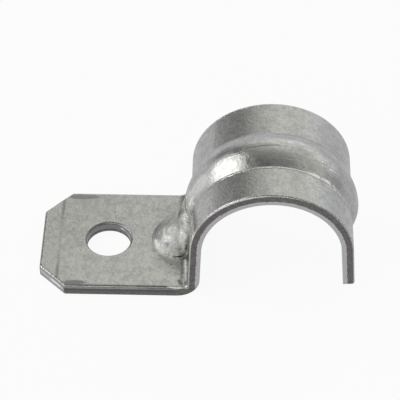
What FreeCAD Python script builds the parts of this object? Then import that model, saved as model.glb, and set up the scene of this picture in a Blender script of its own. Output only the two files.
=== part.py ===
import FreeCAD, Part
import math
import os

from FreeCAD import Vector

# One-hole conduit strap, pressed and folded from one piece of galvanised steel sheet.
# Millimetres. The origin is on the conduit's axis at the middle of the strap's width.
# X runs from the fixing tab towards the free leg, Y along the conduit, Z away from the wall.

# Sheet and arch
sheet_thickness = 1.78
strap_width = 20.3
seat_radius = 10.6            # inside of the arch: it grips a 21.3 mm conduit
fixed_lean = 2.0              # degrees, each leg leans outwards from the arch down
free_lean = 4.0

# Fixing tab
tab_drop = 9.55               # conduit axis down to the tab's underside
tab_end = 35.8                # conduit axis to the tab's outer end
fold_radius = 0.7             # inside of the fold between the tab and the leg, on the dart's front side
rear_fold_radius = 2.2        # and on its rear side, which is softer
fold_back_radius = 3.6        # its outside, where the sheet has thinned
corner_cut = 4.15             # the tab's two clipped corners
corner_round = 0.6            # the four points that the clipping leaves
end_strip = 2.85              # last strip of the tab, pressed down a little
end_strip_angle = 3.0         # degrees

# Screw hole
hole_radius = 3.45
hole_offset = 25.35           # conduit axis to the hole's axis

# Free leg
foot_rise = 2.95              # tab's underside up to the free leg's end
foot_corner_round = 0.8

# The punch rounds the outer side of every sheared edge
edge_round = 0.4

# Stiffening bead along the arch
bead_height = 1.0
bead_half_width = 3.9
bead_front = 2.2              # softness of the bead's foot: 2 meets the arch at an angle, 4 flows
bead_rear = 3.4
bead_fade = 4.8               # down the free leg, until the whole bead has sunk into it

# Dart that ends the bead in the corner of the tab: a neck down the leg and a round knob on the tab
neck_height = 1.8             # out from the leg
neck_share = 0.25             # of the way down to the tab, in which the bead has become the neck
neck_front = 3.2              # half-widths of the neck, which spreads softly towards the rear
neck_rear = 5.5
neck_crease = 1.6             # softness of the neck's front foot, as the bead's
knob_reach = 5.6              # along the tab from the leg, before the neck adds its share
knob_half_width = 3.6
knob_height = 5.4             # above the tab
knob_fullness = 0.8           # the lower, the steeper it rises from the neck
knob_wrap = 32.0              # degrees by which its round outline turns back in at the leg
knob_blend = 2.0              # the higher, the crisper the line between the neck and the knob
knob_flank = 1.5              # sheet left at the foot of the knob's flanks
bead_steps = 7                # sections down each leg, to the tab or to the bead's end
section_steps = 6             # spans in each half of a section
loft_degree = 3               # of the surfaces through the sections

outer_radius = seat_radius + sheet_thickness
tab_face = sheet_thickness - tab_drop
tab_underside = -tab_drop
foot_end = foot_rise - tab_drop
half_width = strap_width / 2
root_depth = sheet_thickness / 4
foot_depth = 0.05             # a bulge starts this far behind its skin, so that it cuts it at an angle
near = 1e-4
origin = Vector(0, 0, 0)
conduit_axis = Vector(0, 1, 0)
upright_axis = Vector(0, 0, 1)


def point(x, z, y=0.0):
    return Vector(x, y, z)


def line(start, end):
    return Part.LineSegment(start, end).toShape()


def arc(start, middle, end):
    return Part.Arc(start, middle, end).toShape()


def around(centre, radius, degrees):
    turn = math.radians(degrees)
    return centre + point(radius * math.cos(turn), radius * math.sin(turn))


def leg_x(radius, z, lean):
    """How far from the conduit's axis a leg's face lies at height z, below the arch."""
    return radius / math.cos(math.radians(lean)) - z * math.tan(math.radians(lean))


def profiles(fold_inside):
    """The sheet's two skins from the tab's end to the free leg's end, seen along the conduit."""
    # A leg leaves the arch at its tangent point, as far above the axis as the leg leans
    outer_left = around(origin, outer_radius, 180 - fixed_lean)
    outer_right = around(origin, outer_radius, free_lean)
    inner_left = around(origin, seat_radius, 180 - fixed_lean)
    inner_right = around(origin, seat_radius, free_lean)

    # Each side of the fold is an arc between the tab and the leg
    fold_turn = (-90.0 - fixed_lean) / 2
    fold_z = tab_face + fold_inside
    fold = point(-leg_x(outer_radius + fold_inside, fold_z, fixed_lean), fold_z)
    fold_low = around(fold, fold_inside, -90)
    fold_high = around(fold, fold_inside, -fixed_lean)
    back_z = tab_underside + fold_back_radius
    back = point(-leg_x(seat_radius + fold_back_radius, back_z, fixed_lean), back_z)
    back_low = around(back, fold_back_radius, -90)
    back_high = around(back, fold_back_radius, -fixed_lean)

    # The end strip hinges down from the tab by its angle
    strip = math.radians(end_strip_angle)
    hinge_low = point(end_strip - tab_end, tab_underside)
    hinge_high = hinge_low + point(-math.tan(strip / 2), 1.0) * sheet_thickness
    end_low = hinge_low + point(-math.cos(strip), -math.sin(strip)) * end_strip
    end_high = end_low + point(-math.sin(strip), math.cos(strip)) * sheet_thickness

    # The free leg ends square to its own faces
    foot_out = point(leg_x(outer_radius, foot_end, free_lean), foot_end)
    foot_in = foot_out - around(origin, sheet_thickness, free_lean)

    outer = [
        line(end_high, hinge_high),
        line(hinge_high, fold_low),
        arc(fold_low, around(fold, fold_inside, fold_turn), fold_high),
        line(fold_high, outer_left),
        arc(outer_left, around(origin, outer_radius, 90), outer_right),
        line(outer_right, foot_out),
    ]
    inner = [
        line(foot_in, inner_right),
        arc(inner_right, around(origin, seat_radius, 90), inner_left),
        line(inner_left, back_high),
        arc(back_high, around(back, fold_back_radius, fold_turn), back_low),
        line(back_low, hinge_low),
        line(hinge_low, end_low),
    ]
    return outer, inner


def plan_outline():
    """The strap's outline seen from above, as a block: clipped and rounded corners at the tab's end."""
    right = outer_radius + tab_end
    outline = Part.makePolygon([
        Vector(right, -half_width, 0),
        Vector(right, half_width, 0),
        Vector(corner_cut - tab_end, half_width, 0),
        Vector(-tab_end, half_width - corner_cut, 0),
        Vector(-tab_end, corner_cut - half_width, 0),
        Vector(corner_cut - tab_end, -half_width, 0),
        Vector(right, -half_width, 0),
    ])
    block = Part.Face(outline).extrude(Vector(0, 0, 2 * (tab_drop + outer_radius)))
    block.translate(Vector(0, 0, -tab_drop - outer_radius))
    points = [e for e in block.Edges if e.BoundBox.XMax < 0 and e.BoundBox.ZLength > tab_drop]
    return block.makeFillet(corner_round, points)


def middle(edge):
    first, last = edge.ParameterRange
    return edge.valueAt((first + last) / 2)


def blank_outline(sheet, skins):
    """The sheared edges on the outer skin: all of its edges but the lines of the folds."""
    ends = [skins[0][0].Vertexes[0].Point, skins[0][-1].Vertexes[-1].Point]
    seen_skins = Part.Compound([Part.Wire(skin) for skin in skins])
    found = []
    for edge in sheet.Edges:
        place = middle(edge)
        seen = point(place.x, place.z)
        at_end = min((seen - end).Length for end in ends) < near
        if Part.Vertex(seen).distToShape(seen_skins)[0] < near and (abs(place.y) > near or at_end):
            found.append(edge)
    return found


def half_sheet(outer, inner, start):
    """Half of the folded sheet's width, as a block between its two skins."""
    foot = line(outer[-1].Vertexes[-1].Point, inner[0].Vertexes[0].Point)
    end = line(inner[-1].Vertexes[-1].Point, outer[0].Vertexes[0].Point)
    half = Part.Face(Part.Wire(outer + [foot] + inner + [end])).extrude(Vector(0, half_width, 0))
    half.translate(Vector(0, start, 0))
    return half


def folded_sheet():
    """The plain strap, folded, clipped and drilled, before its bead and dart."""
    outer, inner = profiles(fold_radius)
    rear_outer, rear_inner = profiles(rear_fold_radius)
    sheet = half_sheet(outer, inner, -half_width).fuse(half_sheet(rear_outer, rear_inner, 0.0))
    sheet = sheet.removeSplitter()

    foot = middle(line(outer[-1].Vertexes[-1].Point, inner[0].Vertexes[0].Point))
    foot_corners = [e for e in sheet.Edges if e.BoundBox.YLength < near]
    foot_corners = [e for e in foot_corners if (middle(e) - foot).cross(conduit_axis).Length < near]
    sheet = sheet.makeFillet(foot_corner_round, foot_corners)
    sheet = sheet.common(plan_outline())
    sheet = sheet.makeFillet(edge_round, blank_outline(sheet, [outer, rear_outer]))

    drill = Part.makeCylinder(hole_radius, 4 * sheet_thickness)
    drill.translate(Vector(-hole_offset, 0, tab_underside - sheet_thickness))
    sheet = sheet.cut(drill)
    rim_length = 2 * math.pi * hole_radius
    rim = [e for e in sheet.Edges if e.BoundBox.ZLength < near and abs(e.Length - rim_length) < near]
    rim = [e for e in rim if abs(middle(e).z - tab_face) < near]
    return sheet.makeFillet(edge_round, rim)


def bulge(depth, spans, softness, wrap):
    """Half of a section's outline across the strap: out from the plane x = 0 by depth in the middle.

    Spans and softness are given for the front and the rear half. Wrap turns both sides back in.
    """
    widest = 90.0 + wrap
    foot = math.cos(math.radians(widest))
    places = []
    for step in range(-section_steps, section_steps + 1):
        side = 0 if step < 0 else 1
        turn = math.radians(widest * step / section_steps)
        share = max(0.0, math.cos(turn) - foot) / (1 - foot)
        places.append(Vector(-depth * share ** softness[side], spans[side] * math.sin(turn), 0))
    curve = Part.BSplineCurve()
    curve.interpolate(places)
    return curve.toShape()


def section(radius, root, depth, spans, softness, wrap, drop, sunk=0.0):
    """A bulge on a skin, closed at a root behind it, at a distance down an upright leg."""
    outline = bulge(depth + foot_depth, spans, softness, wrap)
    outline.translate(Vector(foot_depth + sunk - radius, 0, -drop))
    start = outline.Vertexes[0].Point
    end = outline.Vertexes[-1].Point
    root_start = Vector(-root, start.y, -drop)
    root_end = Vector(-root, end.y, -drop)
    sides = [line(end, root_end), line(root_end, root_start), line(root_start, start)]
    return Part.Wire([outline] + sides)


def blend(start, end, share):
    return start + (end - start) * share


def neck_and_knob(radius, root, knob_span, knob_turn, down):
    """Sections from the bead down the fixed leg: a neck that swells to the knob on the tab."""
    sections = []
    for step in range(bead_steps + 1):
        share = step / bead_steps
        to_neck = math.sin(math.pi / 2 * min(1.0, share / neck_share)) ** 2
        below_top = max(0.0, 1 - down * (1 - share) / knob_height)
        swell = math.sin(math.pi / 2 * below_top) ** knob_fullness
        neck = blend(bead_height, neck_height, to_neck)
        depth = (neck ** knob_blend + (knob_reach * swell) ** knob_blend) ** (1 / knob_blend)
        front = blend(blend(bead_half_width, neck_front, to_neck), knob_span, swell)
        rear = blend(blend(bead_half_width, neck_rear, to_neck), knob_span, swell)
        spans = (front, rear)
        crease = blend(bead_front, neck_crease, to_neck)
        softness = (blend(crease, 1.0, swell), blend(bead_rear, 1.0, swell))
        wrap = knob_turn * swell
        sections.append(section(radius, root, depth, spans, softness, wrap, down * share))
    sections.append(section(radius, root, depth, spans, softness, wrap, down + root_depth))
    return sections


def bead_and_dart(radius, knob_span, knob_turn, base):
    """The bead on one of the skins: around the arch, down to the tab and to its end on the free leg."""
    lean = math.radians(fixed_lean)
    down = (radius * math.sin(lean) - base) / math.cos(lean)
    root = radius - root_depth
    swelling = neck_and_knob(radius, root, knob_span, knob_turn, down)

    # Down the free leg, half a turn away, the bead sinks, and its front and rear change places
    deep_root = root - bead_height
    spans = (bead_half_width, bead_half_width)
    softness = (bead_rear, bead_front)
    sinking = []
    for step in range(bead_steps + 1):
        share = step / bead_steps
        sunk = (bead_height + root_depth / 2) * math.sin(math.pi / 2 * share) ** 2
        drop = bead_fade * share
        sinking.append(section(radius, deep_root, bead_height, spans, softness, 0.0, drop, sunk))

    ring = Part.Face(swelling[0]).revolve(origin, conduit_axis, 180.0 - fixed_lean - free_lean)
    ring.rotate(origin, conduit_axis, fixed_lean)
    dart = Part.makeLoft(swelling, True, False, False, loft_degree)
    dart.rotate(origin, conduit_axis, fixed_lean)

    end = Part.makeLoft(sinking, True, False, False, loft_degree)
    end.rotate(origin, upright_axis, 180.0)
    end.rotate(origin, conduit_axis, -free_lean)
    return ring.fuse([dart, end])


def main():
    os.makedirs("parts", exist_ok=True)
    strap = folded_sheet()
    strap = strap.fuse(bead_and_dart(outer_radius, knob_half_width, knob_wrap, tab_face))
    strap = strap.cut(bead_and_dart(seat_radius, knob_half_width - knob_flank, 0.0, tab_underside))
    strap = strap.removeSplitter()
    strap.exportStep("parts/strap.step")


main()
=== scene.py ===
import math
from types import SimpleNamespace

import bpy
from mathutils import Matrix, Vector

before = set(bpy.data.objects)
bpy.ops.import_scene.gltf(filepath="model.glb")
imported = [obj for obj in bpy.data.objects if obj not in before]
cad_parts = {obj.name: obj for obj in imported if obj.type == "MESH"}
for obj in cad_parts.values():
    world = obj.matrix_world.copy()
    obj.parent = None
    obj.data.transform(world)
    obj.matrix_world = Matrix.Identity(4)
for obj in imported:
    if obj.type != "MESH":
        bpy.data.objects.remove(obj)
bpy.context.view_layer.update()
print("frame loaded")

# The strap's own sizes in millimetres and degrees, as they are in its source: the finish follows them
strapSizes = {
    "thickness": 1.78,
    "halfWidth": 10.15,
    "seatRadius": 10.6,
    "fixedLean": 2.0,
    "freeLean": 4.0,
    "tabDrop": 9.55,
    "tabEnd": 35.8,
    "cornerCut": 4.15,
    "endStrip": 2.85,
    "holeRadius": 3.45,
    "holeOffset": 25.35,
    "footRise": 2.95,
}


class Link:
    # One value or colour in a material's nodes. Sums on it add Math nodes.
    def __init__(self, tree, socket):
        self.tree = tree
        self.socket = socket

    def make(self, kind, settings=None, inputs=None, output=0):
        node = self.tree.nodes.new(kind)
        for name, value in (settings or {}).items():
            setattr(node, name, value)
        for name, value in (inputs or {}).items():
            if isinstance(value, Link):
                self.tree.links.new(value.socket, node.inputs[name])
            else:
                node.inputs[name].default_value = value
        return Link(self.tree, node.outputs[output] if node.outputs else None)

    def sum(self, operation, *values):
        inputs = {0: self}
        for place, value in enumerate(values):
            inputs[place + 1] = value
        return self.make("ShaderNodeMath", {"operation": operation}, inputs)

    def __add__(self, other):
        return self.sum("ADD", other)

    def __radd__(self, other):
        return self.sum("ADD", other)

    def __sub__(self, other):
        return self.sum("SUBTRACT", other)

    def __rsub__(self, other):
        return self.sum("MULTIPLY_ADD", -1.0, other)

    def __mul__(self, other):
        return self.sum("MULTIPLY", other)

    def __rmul__(self, other):
        return self.sum("MULTIPLY", other)

    def __truediv__(self, other):
        return self.sum("DIVIDE", other)

    def __pow__(self, other):
        return self.sum("POWER", other)

    def __abs__(self):
        return self.sum("ABSOLUTE")

    def least(self, other):
        return self.sum("MINIMUM", other)

    def most(self, other):
        return self.sum("MAXIMUM", other)

    def root(self):
        return self.sum("SQRT")

    def rise(self, low, high):
        # 0 below low, 1 above high, or the other way round where low is the larger
        return self.make("ShaderNodeMapRange", {"interpolation_type": "SMOOTHSTEP", "clamp": True}, {
            "Value": self, "From Min": low, "From Max": high, "To Min": 0.0, "To Max": 1.0})

    def between(self, low, high, soft):
        return self.rise(low - soft, low + soft) * self.rise(high + soft, high - soft)

    def line(self, centre, halfWidth):
        return abs(self - centre).rise(halfWidth, halfWidth * lineCore)

    def vector(self, operation, other, output=0):
        return self.make("ShaderNodeVectorMath", {"operation": operation}, {0: self, 1: other}, output)

    def scaled(self, factor):
        return self.make("ShaderNodeVectorMath", {"operation": "SCALE"}, {0: self, "Scale": factor})

    def parts(self):
        node = self.make("ShaderNodeSeparateXYZ", None, {0: self}).socket.node
        return [Link(self.tree, output) for output in node.outputs]

    def farFrom(self, start, end):
        # How far a place is from a straight stroke between two points
        along = Vector(end) - Vector(start)
        fromStart = self.vector("SUBTRACT", start)
        share = fromStart.vector("DOT_PRODUCT", tuple(along), "Value") / along.length_squared
        share = share.most(0.0).least(1.0)
        foot = share.make("ShaderNodeVectorMath", {"operation": "SCALE"}, {
            0: tuple(along), "Scale": share})
        return fromStart.vector("SUBTRACT", foot).vector("LENGTH", (0.0, 0.0, 0.0), "Value")


lineCore = 0.3          # share of a line's half-width that has its full strength
noiseMiddle = 0.5       # a noise's middle value
perMetre = 1000.0       # Object coordinates are in metres, and the finish is placed in millimetres


def strongest(marks):
    found = marks[0]
    for mark in marks[1:]:
        found = found.most(mark)
    return found


def addShares(value, marks, shares):
    for name, mark in marks.items():
        value = mark * shares[name] + value
    return value


def fade(value, name):
    return value.rise(*fades[name])


def blendColours(base, over, factor):
    # Sockets 6 and 7 and output 2 are the Mix node's colours
    node = factor.tree.nodes.new("ShaderNodeMix")
    node.data_type = "RGBA"
    for place, value in ((0, factor), (6, base), (7, over)):
        if isinstance(value, Link):
            node.id_data.links.new(value.socket, node.inputs[place])
        else:
            node.inputs[place].default_value = value
    return Link(factor.tree, node.outputs[2])


steelLook = {
    "zinc": (0.57, 0.574, 0.556, 1.0),
    "zincDull": (0.41, 0.414, 0.405, 1.0),
    # bright zinc for the drawing lines, also used for painted highlights and glints
    "brightZincAndHighlights": (0.93, 0.93, 0.9, 1.0),
    # dark zinc for rubbed places, grain and drawing lines, also used for painted shade
    "rubbedAndShade": (0.25, 0.255, 0.26, 1.0),
    "torn": (0.24, 0.227, 0.218, 1.0),
    "tornDark": (0.14, 0.132, 0.128, 1.0),
    "burnished": (0.58, 0.575, 0.59, 1.0),
    # painted shade: the hole's wall, darker than the burnished strip
    "drilled": (0.27, 0.268, 0.275, 1.0),
    "metallic": 0.92,
    "roughness": 0.27,
    "usualDullness": 0.45,      # where the zinc has just that roughness
    "grainHeight": 0.00004,     # metres
}

# What each part of the finish adds to the roughness
addedRoughness = {
    "dull": 0.2,
    "paintedGlints": -0.08,
    "torn": 0.24,
    "rubbedAndShade": 0.1,
    "knob": 0.12,
}

# What it adds to the surface, in grain heights
addedHeight = {
    "softGrain": 0.9,
    "softPatches": 0.6,
    "torn": 2.5,
    "paintedGlints": 1.5,
    "paintedShadeLines": -1.2,
    "crinkle": 3.0,
    "drawn": 0.4,
    "knob": 1.2,
}

# Noises on the metal: steps per millimetre, detail, roughness
zincNoises = {
    "clouds": (0.55, 3.0, 0.55),
    "patches": (1.35, 3.0, 0.55),
    "grain": (2.5, 3.0, 0.6),
    "speck": (5.0, 2.0, 0.5),
    "softGrain": (2.3, 1.0, 0.4),
    "softPatches": (1.3, 1.0, 0.4),
    "drawn": (1.0, 3.0, 0.65),
    "wander": (0.5, 2.0, 0.55),
    "broken": (1.3, 2.0, 0.7),
    "ragged": (1.9, 3.0, 0.65),
    "tearing": (4.2, 4.0, 0.7),
}

# How much of the dull zinc follows each noise: from, to, share
dullNoises = {
    "clouds": (0.35, 0.7, 0.35),
    "patches": (0.38, 0.64, 0.42),
    "grain": (0.4, 0.66, 0.23),
}

# Where a part of the finish starts to show, and where it is full
fades = {
    # places along the tab, across the strap or up, in millimetres
    "tabSide": (0.2, -0.2),             # past the fixed leg's outer skin
    "rolledAlong": (-13.4, -15.4),
    "rolledAcross": (-9.0, -9.8),
    "tornStrip": (-8.9, -6.9),
    "arch": (-3.0, 1.0),
    "beadAcross": (5.2, 3.2),
    "frontHalf": (1.0, -1.0),
    "paintedLightFront": (2.0, -5.0),
    "paintedLightEnd": (-32.7, -33.5),
    "hingeEnds": (3.0, 7.0),
    "towardsFold": (-22.0, -17.0),
    "highNicks": (0.0, 5.0),
    # millimetres behind the outer skin
    "skin": (0.75, 0.45),
    "tabFace": (0.45, 0.3),
    "belowRounding": (0.14, 0.24),
    "tornBand": (1.12, 1.06),
    "drilledBand": (1.2, 1.3),
    "rolledBand": (1.5, 0.7),
    "clippedTop": (0.66, 0.4),
    "clippedFoot": (1.15, 1.5),
    "drilledFoot": (1.5, 1.6),
    # millimetres in from the sheared outline, or from the hole's wall
    "atOutline": (0.13, 0.08),
    "rim": (0.62, 0.35),
    "tabOutline": (0.34, 0.12),
    "clippedOutline": (0.5, 0.2),
    "rolledOutline": (0.75, 0.2),
    "drilled": (0.2, 0.1),
    "pastHole": (0.3, 0.5),
    # millimetres by which a clipped corner is nearer than every other edge
    "cornerFace": (0.05, 0.2),
    "cornerOutline": (0.0, 0.3),
    "pastCorner": (0.2, 0.05),
    # millimetres from the middle of the knob
    "knob": (3.4, 2.6),
    # values of a noise
    "darkGrain": (0.58, 0.7),
    "drawnBright": (0.56, 0.72),
    "drawnDark": (0.46, 0.3),
    "brokenGlints": (0.36, 0.55),
    "rimGlints": (0.55, 0.64),
    "speckle": (0.56, 0.44),
    "tearing": (0.42, 0.62),
    # half-sizes of a rubbed place
    "rubbedPlace": (1.2, 0.6),
}

# Painted highlights and painted shade along the arch's creases, streaks and bead feet: millimetres
# across from the middle, half-width, how far round the arch it runs in degrees, and its strength
paintedHighlightLines = {
    "frontCrease": (-3.98, 0.17, 42, 128, 0.75),
    "frontCreaseBroad": (-3.9, 0.42, 43, 64, 0.85),
    "frontCreaseEnd": (-4.3, 0.28, 33, 45, 0.8),
    "crestStreak": (-1.25, 0.26, 50, 63, 0.8),
    "lowerStreak": (-1.9, 0.22, 44, 55, 0.7),
    "rearStreak": (1.75, 0.12, 96, 122, 0.25),
}
# Painted shade along the crest and the bead's feet
paintedShadeLines = {
    "crestLine": (-0.45, 0.26, 85, 113, 0.55),
    "rearFoot": (3.3, 0.16, 50, 138, 0.4),
    "frontFoot": (-4.3, 0.14, 40, 165, 0.35),
    "rearFootRight": (4.3, 0.2, 30, 56, 0.3),
    "frontFootRight": (-4.85, 0.15, 16, 44, 0.45),
}

# Rubbed places on the tab: middle and half-sizes in millimetres, strength
tabMarks = {
    "frontRub": (-30.1, -9.35, 2.1, 0.5, 0.95),
    "backRub": (-29.9, 9.2, 3.0, 0.6, 0.8),
    "speck": (-24.7, 5.81, 0.2, 0.2, 0.7),
    "nearHole": (-21.4, -4.4, 0.5, 0.45, 0.2),
}

# Dark cracks at the dart's foot, painted shade round the knob and in the fold, and painted highlights
# round the
# dart, in the fold and on the edges: from, to, half-width in millimetres, strength
# Dark cracks, and painted shade round the knob and in the fold
cracksAndPaintedShade = {
    "crackAtFoot": ((-15.0, -3.74, -7.77), (-14.1, -3.57, -7.77), 0.22, 0.85),
    "crackTurning": ((-14.1, -3.57, -7.77), (-13.3, -3.38, -7.4), 0.28, 1.0),
    "crackUpLeg": ((-13.25, -3.36, -7.3), (-13.02, -3.36, -5.2), 0.22, 0.95),
    "foldRoot": ((-13.7, -4.3, -7.77), (-13.65, -9.3, -7.77), 0.34, 0.6),
    "foldCorner": ((-14.0, -8.7, -7.77), (-13.7, -9.3, -7.77), 0.5, 0.95),
    "crackUnder": ((-14.0, -4.14, -7.77), (-13.1, -4.0, -7.72), 0.2, 0.9),
    "knobShade": ((-16.8, -4.6, -7.77), (-14.2, -6.0, -7.77), 2.0, 0.22),
    "knobTop": ((-15.9, -1.6, -4.1), (-14.6, -2.1, -3.4), 1.3, 0.7),
    "knobShoulder": ((-17.2, -0.6, -5.0), (-15.0, -1.3, -3.6), 1.9, 0.55),
}
# Painted highlights and glints
paintedHighlightStrokes = {
    "crackLip": ((-14.5, -3.4, -7.6), (-13.5, -3.28, -7.1), 0.16, 0.8),
    "foldRidge": ((-13.25, -4.2, -7.75), (-13.0, -8.6, -7.65), 0.2, 0.9),
    "cornerHighlight": ((-15.6, -9.9, -7.8), (-13.7, -10.05, -8.0), 0.34, 0.8),
    "knobGlint": ((-16.5, -2.3, -5.15), (-15.6, -2.75, -5.1), 0.7, 0.8),
    "knobRim": ((-17.8, -1.8, -6.9), (-17.1, -2.6, -7.0), 1.0, 1.0),
    "knobRimFront": ((-17.1, -2.6, -7.0), (-15.0, -3.5, -6.9), 1.3, 1.0),
    "knobBelly": ((-15.0, -3.3, -5.6), (-13.6, -3.5, -5.0), 1.1, 0.6),
    "beadEnd": ((-10.6, -2.3, 7.6), (-12.8, -1.9, 2.0), 1.6, 0.5),
    "neckTop": ((-13.15, -1.0, 2.6), (-13.05, -1.9, 1.6), 0.8, 0.95),
    "legLight": ((-12.1, -5.0, 2.5), (-11.85, -9.6, 3.6), 1.1, 0.7),
    "neck": ((-12.8, -2.3, 1.8), (-13.3, -2.4, -1.2), 1.2, 0.5),
    "neckFoot": ((-13.5, -3.2, -3.5), (-13.8, -3.4, -4.9), 0.9, 0.85),
    "holeGlint": ((-23.5, 2.95, -8.4), (-22.3, 1.5, -8.6), 0.26, 0.7),
    "clipGlint": ((-33.8, -8.0, -8.65), (-32.4, -9.4, -8.6), 0.34, 1.0),
}

# How strong each mark is
markStrength = {
    "paintedLightFront": 0.24,          # painted light: less dull zinc on the tab's front half
    "paintedLightEnd": 0.3,             # and on its end strip
    "tabDuller": 0.03,              # and a little more all over the tab
    "darkGrain": 0.3,
    "drawnBright": 0.35,
    "drawnDark": 0.22,
    "hingeMiddle": 0.22,
    "hingeEnds": 0.5,               # more than in its middle
    "lowNicks": 0.35,
    "highNicks": 0.5,               # more than low down
    "cracksAndPaintedShade": 0.9,
    "knobSpeckle": 0.45,
    "tabOutline": 0.45,
    "clippedOutline": 0.75,
    "rolledOutline": 0.62,
    "towardsFold": 0.3,             # more than at the tab's end
    "holeLine": 0.95,
    "clippedFoot": 0.8,
    "edgeShade": 0.75,
    "beadGrain": 0.4,               # share of the soft grain that the bead has lost
    "tornMetallic": 0.25,           # less metallic where it is torn
    "strokeMetallic": 0.35,         # and where a painted highlight is
}

# Sizes of the marks, in millimetres where no note says otherwise
finishSizes = {
    "drawnRound": 0.02,             # steps of the drawing lines per degree round the arch
    "drawnAcross": 3.4,             # and per millimetre across
    "lineEnds": (5.0, 6.0),         # degrees over which a bright and a dark line end
    "wander": 0.5,                  # how far a crease strays
    "hingeWander": 0.4,             # share of that on the hinge line
    "hingeHalfWidth": 0.36,
    "rubRagged": 0.9,               # half-sizes of a rubbed place
    "holeLine": (0.09, 0.26),       # middle and half-width of the dark line round the hole
    "rolledDepth": 0.34,            # how much lower the sheared face starts on the tab's front edge
    "raggedDepth": 0.42,            # how far the torn band's border strays
    "knobMiddle": ((-15.6, -1.0, -6.5), (-15.0, -0.5, -5.0)),
}


def measureSheet(place):
    # Where a point lies on the folded sheet, in millimetres
    size = strapSizes
    at = SimpleNamespace()
    at.x, at.y, at.z = x, y, z = place.parts()
    at.angle = z.sum("ARCTAN2", x) * math.degrees(1.0)

    # How far it lies behind the outer skin: the arch is round above the axis, the legs are flat below it
    outer = size["seatRadius"] + size["thickness"]
    tabFace = size["thickness"] - size["tabDrop"]
    fixed = math.radians(size["fixedLean"])
    free = math.radians(size["freeLean"])
    fixedLeg = z * math.sin(fixed) - x * math.cos(fixed)
    freeLeg = z * math.sin(free) + x * math.cos(free)
    upright = z.rise(-0.01, 0.01)
    reach = (x * x + z * z).root() * upright + fixedLeg.most(freeLeg) * (1 - upright)
    legDepth = outer - reach
    tabDepth = tabFace - z
    foldDepth = (legDepth.most(0.0) ** 2.0 + tabDepth.most(0.0) ** 2.0).root()
    at.onTab = fade(x + outer, "tabSide")
    at.depth = foldDepth * at.onTab + legDepth * (1 - at.onTab)
    at.outside = fade(at.depth, "skin")
    at.onFace = at.onTab * fade(tabDepth, "tabFace")

    # How far it lies from the sheared outline, in the sheet's own plane. The foot's edge is far from
    # all that isn't on the free leg.
    footEnd = size["footRise"] - size["tabDrop"]
    onlyFreeLeg = (-1.0 * x).most(0.0) * 10.0
    side = size["halfWidth"] - abs(y)
    end = x + size["tabEnd"]
    foot = (z - footEnd) + onlyFreeLeg
    at.clipped = (end + side - size["cornerCut"]) * math.sqrt(0.5)
    at.hole = (((x + size["holeOffset"]) ** 2.0) + y * y).root() - size["holeRadius"]
    at.margin = side.least(end).least(at.clipped).least(foot).least(at.hole)
    at.corner = side.least(end).least(at.hole) - at.clipped

    # The sheared faces, which start lower where the tab's front edge is rolled over
    atOutline = fade(at.margin, "atOutline")
    at.cornerFace = atOutline * fade(at.corner, "cornerFace")
    at.rolled = fade(y, "rolledAcross") * fade(x, "rolledAlong") * (1 - at.cornerFace)
    roundedDepth = at.depth - at.rolled * finishSizes["rolledDepth"]
    at.sheared = atOutline * fade(roundedDepth, "belowRounding")
    at.arch = fade(z, "arch") * at.outside
    at.onBead = fade(abs(y), "beadAcross") * at.arch
    return at


def alongArch(lines, across, angle, soft):
    return strongest([across.line(middle, halfWidth) * angle.between(low, high, soft) * strength
                      for middle, halfWidth, low, high, strength in lines.values()])


def alongStrokes(strokes, place, patches):
    marks = []
    for start, end, halfWidth, strength in strokes.values():
        far = place.farFrom(start, end) + (patches - noiseMiddle) * halfWidth
        marks.append(far.rise(halfWidth, halfWidth * lineCore) * strength)
    return strongest(marks)


def rubsAndHingeShade(at, wander, patches):
    # Painted shade along the hinge line of the tab's end strip, and rubbed places
    hinge = strapSizes["endStrip"] - strapSizes["tabEnd"]
    strength = markStrength["hingeMiddle"] + fade(abs(at.y), "hingeEnds") * markStrength["hingeEnds"]
    strayed = at.x + wander * finishSizes["hingeWander"]
    marks = [strayed.line(hinge, finishSizes["hingeHalfWidth"]) * at.onFace * strength]
    for middleX, middleY, halfX, halfY, strength in tabMarks.values():
        far = (((at.x - middleX) / halfX) ** 2.0 + ((at.y - middleY) / halfY) ** 2.0).root()
        far = far + (patches - noiseMiddle) * finishSizes["rubRagged"]
        marks.append(fade(far, "rubbedPlace") * at.onFace * strength)
    return strongest(marks)


def paintedEdgeShade(at, paintedHighlights):
    # Painted shade on the tab's rounded outline, and a painted dark line round the hole
    strengths = markStrength
    outline = fade(at.margin, "tabOutline") * at.onTab * at.outside * strengths["tabOutline"]
    clipped = fade(at.clipped, "clippedOutline") * fade(at.corner, "cornerOutline")
    clipped = clipped * at.onTab * fade(at.y, "frontHalf") * strengths["clippedOutline"]
    towardsFold = strengths["rolledOutline"] + fade(at.x, "towardsFold") * strengths["towardsFold"]
    rolled = fade(at.margin, "rolledOutline") * at.rolled * towardsFold
    outline = outline.most(clipped).most(rolled) * (1 - paintedHighlights)
    holeLine = at.hole.line(*finishSizes["holeLine"]) * at.outside * strengths["holeLine"]
    return outline.most(holeLine)


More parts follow.
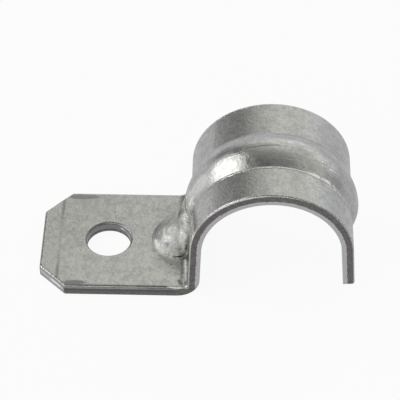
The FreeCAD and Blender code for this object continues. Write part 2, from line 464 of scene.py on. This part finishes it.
def galvanisedSteel():
    look, strengths, finish = steelLook, markStrength, finishSizes
    material = bpy.data.materials.new("galvanisedSteel")
    material.use_nodes = True
    tree = material.node_tree
    tree.nodes.clear()
    place = Link(tree, None).make("ShaderNodeTexCoord", output="Object").scaled(perMetre)
    at = measureSheet(place)

    def noise(name, vector=place):
        scale, detail, roughness = zincNoises[name]
        return place.make("ShaderNodeTexNoise", None, {
            "Vector": vector, "Scale": scale, "Detail": detail, "Roughness": roughness})

    # Zinc: soft clouds, a fine grain and sparse darker specks, with painted light towards the tab's
    # front and end
    noises = {name: noise(name) for name in zincNoises if name != "drawn"}
    patches, speck = noises["patches"], noises["speck"]
    dull = None
    for name, (low, high, share) in dullNoises.items():
        part = noises[name].rise(low, high) * share
        dull = part if dull is None else dull + part
    paintedLight = fade(at.y, "paintedLightFront") * strengths["paintedLightFront"]
    paintedLight = paintedLight + fade(at.x, "paintedLightEnd") * strengths["paintedLightEnd"]
    dull = (dull - at.onTab * (paintedLight - strengths["tabDuller"])).most(0.0)
    colour = blendColours(look["zinc"], look["zincDull"], dull)
    darkGrain = fade(noises["grain"], "darkGrain") * strengths["darkGrain"]
    colour = blendColours(colour, look["rubbedAndShade"], darkGrain)

    # Fine drawing lines that follow the bead
    lines = noise("drawn", place.make("ShaderNodeCombineXYZ", None, {
        0: at.angle * finish["drawnRound"], 1: at.y * finish["drawnAcross"], 2: 0.0}))
    drawnBright = fade(lines, "drawnBright") * at.onBead * strengths["drawnBright"]
    drawnDark = fade(lines, "drawnDark") * at.onBead * strengths["drawnDark"]
    colour = blendColours(colour, look["brightZincAndHighlights"], drawnBright)
    colour = blendColours(colour, look["rubbedAndShade"], drawnDark)

    # Painted highlights and painted shade along the creases and streaks, and rubbed places with painted
    # shade along the tab's hinge
    wander = (noises["wander"] - noiseMiddle) * finish["wander"]
    across = at.y + wander
    brightEnds, darkEnds = finish["lineEnds"]
    paintedGlints = alongArch(paintedHighlightLines, across, at.angle, brightEnds)
    paintedGlints = paintedGlints * fade(noises["broken"], "brokenGlints") * at.arch
    archShade = alongArch(paintedShadeLines, across, at.angle, darkEnds) * at.arch
    colour = blendColours(colour, look["rubbedAndShade"], archShade)
    rubbedAndShade = rubsAndHingeShade(at, wander, patches)
    colour = blendColours(colour, look["rubbedAndShade"], rubbedAndShade)

    # Painted glints on nicks along the rim, painted highlights and painted shade as strokes round the
    # knob and in the fold, dark cracks at the dart's foot, and the knob's crinkle
    rim = fade(at.margin, "rim") * at.outside * (1 - at.sheared)
    often = strengths["lowNicks"] + fade(at.z, "highNicks") * strengths["highNicks"]
    rimGlints = fade(speck, "rimGlints") * rim * often
    paintedGlints = paintedGlints.most(rimGlints * (1 - at.rolled))
    paintedHighlights = alongStrokes(paintedHighlightStrokes, place, patches)
    cracksAndShade = alongStrokes(cracksAndPaintedShade, place, patches)
    knob = fade(place.farFrom(*finish["knobMiddle"]), "knob")
    speckled = 1 - knob * fade(speck, "speckle") * strengths["knobSpeckle"]
    crinkle = knob * paintedHighlights * speckled
    colour = blendColours(colour, look["brightZincAndHighlights"], paintedGlints.most(paintedHighlights * speckled))
    colour = blendColours(colour, look["tornDark"], cracksAndShade * strengths["cracksAndPaintedShade"])
    colour = blendColours(colour, look["rubbedAndShade"], paintedEdgeShade(at, paintedHighlights))

    # The sheared face: a torn band with a ragged border, then a strip that the punch burnished
    band = at.depth + (noises["ragged"] - noiseMiddle) * finish["raggedDepth"]
    strip = fade(at.z, "tornStrip") * fade(at.hole, "pastHole")
    torn = fade(band, "tornBand") * strip + (1 - strip)
    torn = torn * fade(at.corner, "pastCorner")
    drilled = fade(at.hole, "drilled")
    torn = torn * (1 - drilled) + fade(band, "drilledBand") * drilled
    torn = torn * at.sheared
    tearing = noises["tearing"]
    tornDark = fade(tearing, "tearing").most(at.rolled * fade(at.depth, "rolledBand"))
    tornColour = blendColours(look["torn"], look["tornDark"], tornDark)
    colour = blendColours(colour, look["burnished"], at.sheared)
    # Painted shade inside the hole
    colour = blendColours(colour, look["drilled"], drilled * at.sheared)
    colour = blendColours(colour, tornColour, torn)
    clippedTop = at.cornerFace * fade(at.depth, "clippedTop")
    clippedFoot = at.cornerFace * fade(at.depth, "clippedFoot") * strengths["clippedFoot"]
    drilledFoot = drilled * at.sheared * fade(at.depth, "drilledFoot")
    shade = clippedTop.most(clippedFoot).most(drilledFoot) * strengths["edgeShade"]
    colour = blendColours(colour, look["rubbedAndShade"], shade)
    # Painted highlights on the sheared faces
    colour = blendColours(colour, look["brightZincAndHighlights"], paintedHighlights * at.sheared * (1 - torn))

    roughness = addShares(look["roughness"], {
        "dull": dull - look["usualDullness"], "paintedGlints": paintedGlints, "torn": torn,
        "rubbedAndShade": rubbedAndShade, "knob": knob}, addedRoughness)
    softPatches = noises["softPatches"]
    soft = noises["softGrain"] * addedHeight["softGrain"] + softPatches * addedHeight["softPatches"]
    height = addShares(soft * (1 - at.onBead * strengths["beadGrain"]), {
        "torn": torn * tearing, "paintedGlints": paintedGlints, "paintedShadeLines": archShade, "crinkle": crinkle * speck,
        "drawn": lines * at.onBead, "knob": knob * softPatches}, addedHeight)
    bump = place.make("ShaderNodeBump", None, {
        "Height": height, "Strength": 1.0, "Distance": look["grainHeight"]})
    lessMetallic = (torn * strengths["tornMetallic"]).most(paintedHighlights * strengths["strokeMetallic"])
    surface = place.make("ShaderNodeBsdfPrincipled", None, {
        "Base Color": colour, "Metallic": look["metallic"] - lessMetallic,
        "Roughness": roughness, "Normal": bump})
    place.make("ShaderNodeOutputMaterial", None, {"Surface": surface})
    return material


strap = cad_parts["strap"]
strap.data.materials.clear()
strap.data.materials.append(galvanisedSteel())
print("steel done")

cameraSetup = {
    "height": 45.1001,     # degrees above the tab
    "turn": 1.40556,       # degrees round from the front
    "distance": 0.2877709,     # metres, as the target is
    "target": (-0.0110021, 0.0, 0.0012184),
    "lens": 168.4594,
    "sensor": 36.0,
    "nearest": 0.01,
}


def addCamera():
    setup = cameraSetup
    height = math.radians(setup["height"])
    turn = math.radians(setup["turn"])
    level = math.cos(height)
    back = Vector((math.sin(turn) * level, -math.cos(turn) * level, math.sin(height)))
    bpy.ops.object.camera_add(location=Vector(setup["target"]) + back * setup["distance"])
    camera = bpy.context.object
    camera.name = "camera"
    camera.rotation_euler = back.to_track_quat("Z", "Y").to_euler()
    camera.data.sensor_width = setup["sensor"]
    camera.data.lens = setup["lens"]
    camera.data.clip_start = setup["nearest"]
    bpy.context.scene.camera = camera


addCamera()
print("camera done")

white = (1.0, 1.0, 1.0, 1.0)

floorSetup = {
    "level": -0.0097,
    "size": 3.0,
    "white": 0.92,         # share of plain white in what is seen and mirrored of the floor
    "mirrored": 0.69,      # its strength in the metal
    "paper": (0.9, 0.9, 0.9, 1.0),
    "glow": (0.985, 0.98, 1.0, 1.0),
}


def addFloor():
    setup = floorSetup
    bpy.ops.object.select_all(action="DESELECT")
    bpy.ops.mesh.primitive_plane_add(size=setup["size"], location=(0, 0, setup["level"]))
    floor = bpy.context.object
    floor.name = "floor"
    material = bpy.data.materials.new("paleFloor")
    material.use_nodes = True
    tree = material.node_tree
    tree.nodes.clear()
    start = Link(tree, None)
    seen = start.make("ShaderNodeLightPath", output="Is Camera Ray")
    mirrored = start.make("ShaderNodeLightPath", output="Is Glossy Ray")
    paper = start.make("ShaderNodeBsdfDiffuse", None, {"Color": setup["paper"]})
    glow = start.make("ShaderNodeEmission", None, {
        "Color": blendColours(setup["glow"], white, seen),
        "Strength": seen + mirrored * setup["mirrored"]})
    surface = start.make("ShaderNodeMixShader", None, {
        0: (seen + mirrored) * setup["white"], 1: paper, 2: glow})
    start.make("ShaderNodeOutputMaterial", None, {"Surface": surface})
    floor.data.materials.append(material)


addFloor()
print("floor done")

# Soft panels of light round the strap: degrees round from the free leg's side, degrees up, full and
# outer half-width in degrees, strength
studioPanels = {
    "lowFrontRight": (-30, 8, 4, 34, 0.13),
    "lowRight": (15, 8, 4, 34, 0.38),
    "lowRightBack": (50, 8, 4, 34, 0.73),
    "lowBack": (90, 8, 4, 34, 0.68),
    "lowLeftBack": (130, 8, 4, 34, 0.2),
    "lowLeft": (165, 8, 4, 34, 0.6),
    "lowFrontLeft": (210, 8, 4, 34, 0.46),
    "besideKnob": (194, 10, 5, 16, 1.5),
    "frontRight": (-55, 38, 4, 34, 0.11),
    "rightFront": (-20, 38, 4, 34, 0.17),
    "right": (20, 38, 4, 34, 0.48),
    "rightBack": (55, 38, 4, 34, 0.32),
    "back": (90, 38, 4, 34, 0.54),
    "left": (200, 38, 4, 34, 1.0),
    "frontLeft": (235, 38, 4, 34, 0.78),
    "front": (270, 38, 4, 34, 0.8),
    "highRight": (-30, 65, 4, 34, 0.14),
    "highRightBack": (30, 65, 4, 34, 0.06),
    "highBack": (90, 65, 4, 34, 0.29),
    "keyLow": (167, 27, 12, 22, 1.0),
    "keyMiddle": (163, 33, 9, 21, 0.95),
    "keyHigh": (160, 42, 7, 19, 1.2),
}

# The light's colour where it is weak or low, and where it is strong and comes from above
studioTints = {
    "shade": (0.97, 0.99, 1.02, 1.0),
    "overhead": (1.005, 1.0, 0.955, 1.0),
    "fromAbove": (0.15, 0.5),
    "fromStrength": (0.1, 0.5),
}


def addWorld():
    world = bpy.data.worlds.new("studio")
    bpy.context.scene.world = world
    world.use_nodes = True
    tree = world.node_tree
    tree.nodes.clear()
    start = Link(tree, None)
    towards = start.make("ShaderNodeTexCoord", output="Generated")
    light = None
    for turn, height, full, outer, strength in studioPanels.values():
        level = math.cos(math.radians(height))
        aim = (level * math.cos(math.radians(turn)), level * math.sin(math.radians(turn)),
               math.sin(math.radians(height)))
        facing = towards.vector("DOT_PRODUCT", aim, "Value")
        panel = facing.rise(math.cos(math.radians(outer)), math.cos(math.radians(full))) * strength
        light = panel if light is None else light + panel
    seen = start.make("ShaderNodeLightPath", output="Is Camera Ray")
    strength = light * (1 - seen) + seen
    above = towards.parts()[2].rise(*studioTints["fromAbove"])
    overhead = above * light.rise(*studioTints["fromStrength"])
    tint = blendColours(studioTints["shade"], studioTints["overhead"], overhead)
    tint = blendColours(tint, white, seen)
    glow = start.make("ShaderNodeBackground", None, {"Color": tint, "Strength": strength})
    start.make("ShaderNodeOutputWorld", None, {"Surface": glow})


addWorld()
bpy.context.scene.view_settings.view_transform = "Standard"
print("studio done")
